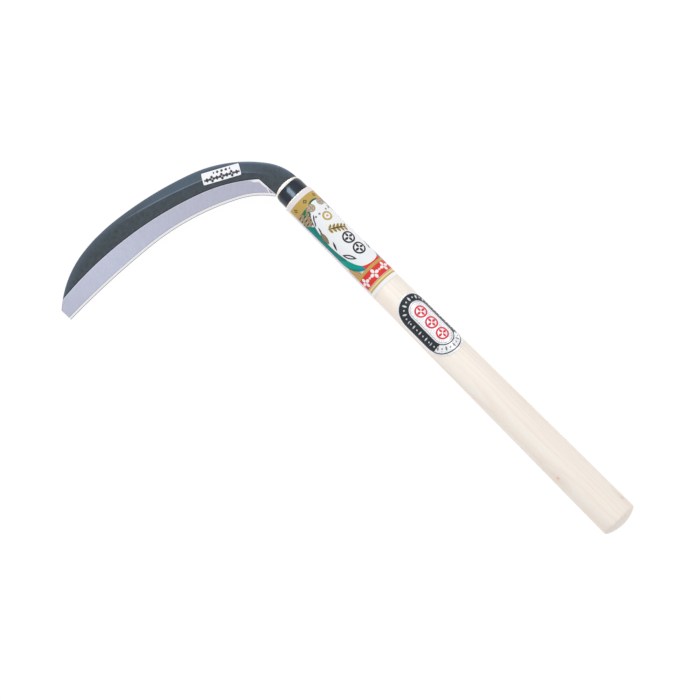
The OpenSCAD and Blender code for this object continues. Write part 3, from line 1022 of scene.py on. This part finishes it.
def paint_field(art, graph, half):
    """Scrolls, leaves, a gold ring, a spray and two medallions, in place of any mark or word."""
    scroll = half.at((27.6, 5.0))
    art.paint((0.62, 0.50, 0.40), scroll.disc(3.3), soft=0.2)
    art.paint(BROWN, abs(scroll.disc(2.6)) - 0.35, soft=0.25)
    art.paint(BROWN, scroll.four_leaves(2.0), soft=0.3)
    veined = half.at((51.0, 14.4), 8)
    outline = veined.leaf(10.5, 3.8)
    art.paint(BROWN, outline)
    art.paint(DARK_OLIVE, outline, veined.every(1.4).box(0.4, 9), share=0.8)
    art.paint(DARK_OLIVE, abs(outline) - 0.16)
    for place, turn, length, width in (((60.7, 13.0), 24, 7.8, 1.7), ((44.6, 12.6), 18, 6.4, 1.2),
                                       ((34.6, 9.2), 40, 6.0, 1.2), ((38.2, 11.4), 34, 5.4, 1.1)):
        art.paint(INK, half.at(place, turn).leaf(length, width))
    art.paint(INK, abs(half.at((74.4, 10.8), -32).leaf(9.6, 2.2)) - 0.5)
    ring = graph.sheet.at((39.9, ART_MIDDLE))
    art.paint(GOLD, abs(ring.disc(3.2)) - 0.75)
    art.paint(GOLD, ring.disc(0.9))
    for v in (3.6, 7.2):
        art.paint(INK, half.at((35.0, v)).lozenge(1.5, 0.4), share=0.9)
    spray = graph.sheet.at((52.0, ART_MIDDLE - 0.8), 62)
    in_spray = spray.box(15.0, 10.0)
    leaves = spray.halved().every(3.0).at((0.6, 2.0), 46)
    art.paint(GOLD, in_spray, leaves.leaf(5.0, 2.3))
    art.paint(DARK_OLIVE, in_spray, leaves.leaf(4.4, 0.7))
    art.paint(DARK_OLIVE, spray.leaf(17.0, 1.4))
    for x in (62.9, 74.3):
        art.paint(INK, graph.sheet.at((x, ART_MIDDLE)).medallion(10.2))


def paint_foot(art, graph, half):
    """The red and gold bands at the label's end."""
    _, v = half.split()
    in_art = v - ART_HALF
    art.paint(RED, half.at((88, 0)).box(6, 17.2), -half.at((73.4, 0)).disc(15.3), soft=0.12)
    for colour, x, length in ((GOLD, 91, 2.4), (RED, 96.7, 9.2), (GOLD, 103.2, 3.4)):
        art.paint(colour, half.at((x, 0)).box(length, FAR), in_art, soft=0.12)
    # a paler stripe down the middle of the last gold band: a painted highlight on the gold
    art.paint((0.90, 0.74, 0.42), half.at((103.0, 0)).box(1.4, FAR), in_art, soft=0.8, share=0.9)
    art.paint((0.94, 0.94, 0.93), half.at((108.9, 0)).box(8, FAR), soft=0.2)
    row = graph.sheet.at((96.6, 0.4))
    clovers = row.every(FAR, 10.4).four_leaves(4.2)
    lozenges = row.at((0, 5.2)).every(FAR, 10.4).lozenge(1.5)
    art.paint(FIELD, graph.lowest(clovers, lozenges), in_art)


def wrap_material():
    graph = handle_graph("wrap_paper")
    graph.sheet = graph.sheet.at((ART_START, 0))
    half = graph.sheet.at((0, ART_MIDDLE)).halved()
    field = graph.lowest(half.at((58, 0)).ellipse(33, 16.4), half.at((33, 0)).disc(9.6))
    art = Print(graph, PAPER)
    paint_borders(art, graph, half, field)
    paint_field(art, graph, half)
    paint_foot(art, graph, half)
    fibre = graph.noise(2.2, 3)
    cockle = graph.noise((0.12, 0.3, 0.3), 2)
    return graph.finish(Base_Color=art.colour, Roughness=graph.fit(fibre, 0.3, 0.7, 0.24, 0.36),
                        Normal=graph.bump(fibre * 0.12 + cockle * 0.9, 0.10), Specular_IOR_Level=0.2)


def add_wrap():
    """A sheet wound round the handle whose end lies over its start, at the back."""
    rows = np.linspace(WRAP_LOW.x, WRAP_HIGH.x, WRAP_ROWS)
    columns = WRAP_COLUMNS
    points = []
    for height in (PAPER_T, 0.0):
        for k in range(columns + 1):
            turn = k / columns * (2 * math.pi + WRAP_OVERLAP / WAIST_R)
            beyond = (turn - 2 * math.pi) * WAIST_R + WRAP_LIFT
            rise = PAPER_T * min(1.0, max(0.0, beyond / WRAP_LIFT))
            angle = WRAP_SEAM + turn
            for x in rows:
                r = wood_radius(x) + GAP / 2 + height + rise
                points.append((x, r * math.sin(angle), r * math.cos(angle)))
    n = len(rows)
    sheet = (columns + 1) * n
    faces = []
    for base in (0, sheet):
        faces += [[base + i for i in face] for face in ring_faces(columns + 1, n, closed=False)]
    for k in range(columns):
        for j in (0, n - 1):
            faces.append([k * n + j, (k + 1) * n + j, sheet + (k + 1) * n + j, sheet + k * n + j])
    for j in range(n - 1):
        for k in (0, columns):
            faces.append([k * n + j, k * n + j + 1, sheet + k * n + j + 1, sheet + k * n + j])
    dress(make_piece("wrap_paper", points, faces, 50), "wrap_label", "wrap_paper", wrap_material())


# ---------------------------------------------------------------- oval sticker
OVAL_X = (OVAL_LOW.x + OVAL_HIGH.x) / 2
OVAL_LEN = OVAL_HIGH.x - OVAL_LOW.x
OVAL_TURN = math.radians(19)
OVAL_R = 18.0
OVAL_INNER_R = 8.5
OVAL_DARK = (0.016, 0.024, 0.032)
SILVER = (0.93, 0.935, 0.95)
OVAL_RIM = 1.3


def oval_material():
    graph = handle_graph("oval_foil")
    half = OVAL_LEN / 2 - OVAL_R
    middle_r = (OVAL_R - OVAL_RIM + OVAL_INNER_R) / 2
    sticker = graph.sheet.at((OVAL_X, OVAL_TURN * wood_radius(OVAL_X)))
    whole = sticker.at((0, 0.7))
    quarter = whole.folded()

    def stadium(plane, radius, straight):
        return plane.box(2 * (straight + radius), 2 * radius, radius)

    outer = stadium(sticker, OVAL_R - OVAL_RIM, half)
    inner = stadium(whole, OVAL_INNER_R, half + 1.6)
    ring = graph.highest(outer, -inner)
    u, _ = whole.split()
    # a border of plain leaves and lozenges by turns, square to the ring
    end_u = quarter.split()[0] - half - 0.8
    spokes = quarter.at((half + 0.8, 0))
    round_marks = graph.lowest(spokes.wheel(12).at((middle_r, 0)).leaf(3.8, 1.4),
                               spokes.at((0, 0), 15).wheel(12).at((middle_r, 0)).lozenge(1.1))
    rows = quarter.at((0, middle_r))
    straight_marks = graph.lowest(rows.every(6.4).at((0, 0), 90).leaf(3.8, 1.1),
                                  rows.at((3.2, 0)).every(6.4).lozenge(1.1))
    marks = graph.lowest(graph.highest(round_marks, -end_u), graph.highest(straight_marks, end_u))
    marks = graph.highest(ring, marks)
    # the ring's print gives way to bright bare foil at the butt end, a painted glare, where only lines are
    # left
    foil_glare = graph.inside(18.5 - u - graph.noise(0.5, 2) * 3.0, 0.6)
    printed = graph.inside(ring) * (1 - foil_glare)
    lines = graph.inside(graph.lowest(abs(outer + 0.35) - 0.42, abs(inner - 0.3) - 0.4,
                                      abs(inner + 1.1) - 0.12))
    marked = graph.inside(marks, 0.2)
    dark = graph.highest(printed * (1 - marked * 0.8), lines, marked * foil_glare * 0.8)
    colour = graph.mix(SILVER, OVAL_DARK, dark)
    medallions = whole.at((0.4, 0)).every(11.4).medallion(10.0)
    red = graph.inside(graph.highest(medallions, whole.box(35, 12)))
    colour = graph.mix(colour, (0.72, 0.02, 0.045), red)
    fibre = graph.noise(1.5, 3)
    cockle = graph.noise((0.16, 0.35, 0.35), 2)
    metal = graph.math("SUBTRACT", 0.45, graph.highest(dark, red) * 0.45, clamp=True)
    return graph.finish(Base_Color=colour, Metallic=metal, Roughness=graph.fit(fibre, 0.3, 0.7, 0.26, 0.32),
                        Normal=graph.bump(fibre * 0.03 + cockle, 0.06), Specular_IOR_Level=0.4)


def add_oval():
    half = OVAL_LEN / 2 - OVAL_R
    outline = []
    for side, start in ((1, -90), (-1, 90)):
        centre = np.array([side * half, 0])
        outline += [centre + OVAL_R * unit(start + 180 * t) for t in np.linspace(0, 1, 40)]

    def place(p, height):
        x = OVAL_X + p[0]
        r = wood_radius(x) + GAP / 2 + height
        angle = OVAL_TURN + p[1] / wood_radius(x)
        return (x, r * math.sin(angle), r * math.cos(angle))

    dress(sheet_piece("oval_foil", outline, place, 14), "oval_sticker", "oval_foil", oval_material())


# ---------------------------------------------------------------- stage, light and camera
CAMERA_PLACE = (358.2, -52.7, 1706.3)
CAMERA_TILT, CAMERA_ROLL = 7.9, 45.26
LENS = 118.3
FLOOR_DROP = 3.0
FLOOR_REACH = 6000.0
FLOOR_GLOW = 0.94
SKY_LOW, SKY_HIGH = 0.60, 0.82


def add_camera():
    data = bpy.data.cameras.new("camera")
    data.lens = LENS
    data.clip_start, data.clip_end = 0.01, 20.0
    camera = bpy.data.objects.new("camera", data)
    tilt = Matrix.Rotation(math.radians(CAMERA_TILT), 4, "Y")
    roll = Matrix.Rotation(math.radians(CAMERA_ROLL), 4, "Z")
    camera.matrix_world = Matrix.Translation(Vector(CAMERA_PLACE) * MM) @ tilt @ roll
    bpy.context.scene.collection.objects.link(camera)
    bpy.context.scene.camera = camera


def add_panel(name, direction, distance, size, radiance, colour=(1, 1, 1), only=None):
    """A soft rectangular light that faces the frame's origin. With only, it lights just that piece."""
    data = bpy.data.lights.new(name, "AREA")
    data.shape = "RECTANGLE"
    data.size, data.size_y = (side * MM for side in size)
    data.energy = radiance * math.pi * data.size * data.size_y
    data.color = colour
    light = bpy.data.objects.new(name, data)
    towards = Vector(direction).normalized()
    light.location = towards * distance * MM
    light.rotation_euler = (-towards).to_track_quat("-Z", "Y").to_euler()
    bpy.context.scene.collection.objects.link(light)
    if only:
        group = bpy.data.collections.new(name + "_lights")
        group.objects.link(only)
        light.light_linking.receiver_collection = group


def add_stage():
    low_z = cad_low.z - FLOOR_DROP * MM
    reach = FLOOR_REACH * MM
    mesh = bpy.data.meshes.new("floor")
    corners = ((-reach, -reach), (reach, -reach), (reach, reach), (-reach, reach))
    mesh.from_pydata([(x, y, low_z) for x, y in corners], [], [[0, 1, 2, 3]])
    floor = bpy.data.objects.new("floor", mesh)
    bpy.context.scene.collection.objects.link(floor)
    graph = Graph("pale_floor")
    cloud = graph.noise(0.01, 2)
    colour = graph.mix((0.08, 0.08, 0.08), (0.10, 0.10, 0.10), cloud)
    mesh.materials.append(graph.finish(Base_Color=colour, Roughness=0.9, Specular_IOR_Level=0.0,
                                       Emission_Color=(1, 1, 1), Emission_Strength=FLOOR_GLOW))
    # from below the floor is clear, so that it never hides the blade's flat back
    output = graph.nodes["Material Output"].inputs["Surface"]
    white = output.links[0].from_socket
    clear = graph.node("BsdfTransparent").outputs[0]
    either = graph.node("MixShader")
    below = graph.node("NewGeometry").outputs["Backfacing"]
    for socket, value in zip(either.inputs, (below, white, clear)):
        graph.links.new(value, socket)
    graph.links.new(either.outputs[0], output)


def add_world():
    """White overhead, a little dimmer towards the horizon."""
    world = bpy.data.worlds.new("studio")
    world.use_nodes = True
    bpy.context.scene.world = world
    nodes, links = world.node_tree.nodes, world.node_tree.links
    background = nodes["Background"]
    split = nodes.new("ShaderNodeSeparateXYZ")
    links.new(nodes.new("ShaderNodeTexCoord").outputs["Generated"], split.inputs[0])
    lift = nodes.new("ShaderNodeMapRange")
    lift.inputs["From Min"].default_value = -0.1
    lift.inputs["From Max"].default_value = 0.8
    lift.inputs["To Min"].default_value = SKY_LOW
    lift.inputs["To Max"].default_value = SKY_HIGH
    links.new(split.outputs["Z"], lift.inputs["Value"])
    links.new(lift.outputs[0], background.inputs["Strength"])
    tint = nodes.new("ShaderNodeValToRGB")
    tint.color_ramp.elements[0].color = (0.92, 0.87, 1.0, 1)
    tint.color_ramp.elements[1].color = (1, 1, 1, 1)
    tint.color_ramp.elements[1].position = 0.7
    links.new(split.outputs["Z"], tint.inputs[0])
    links.new(tint.outputs["Color"], background.inputs["Color"])


def add_lights():
    add_panel("warm_key", (0.25, 0.75, 1.0), 1600, (800, 800), 1.5, (1.0, 0.97, 0.92))
    add_panel("blue_side", (-0.52, 0.04, 0.86), 1500, (700, 900), 2.0, (0.78, 0.90, 1.0))
    add_panel("stripe", (-0.203, -0.128, 0.968), 1500, (900, 500), 10.0, (0.80, 0.89, 1.0),
              only=bpy.data.objects["ferrule_shell"])
    add_panel("nose_fill", (-1.0, -0.1, 0.3), 900, (500, 500), 10.0, only=bpy.data.objects["handle_wood"])


# ---------------------------------------------------------------- assembly
add_blade()
add_handle()
add_ferrule()
add_wrap()
add_oval()
add_tag()
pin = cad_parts["tang_pin"]
pin.data.materials.clear()
pin.data.materials.append(pin_material())
add_stage()
add_world()
add_lights()
add_camera()
bpy.context.scene.view_settings.view_transform = "Standard"
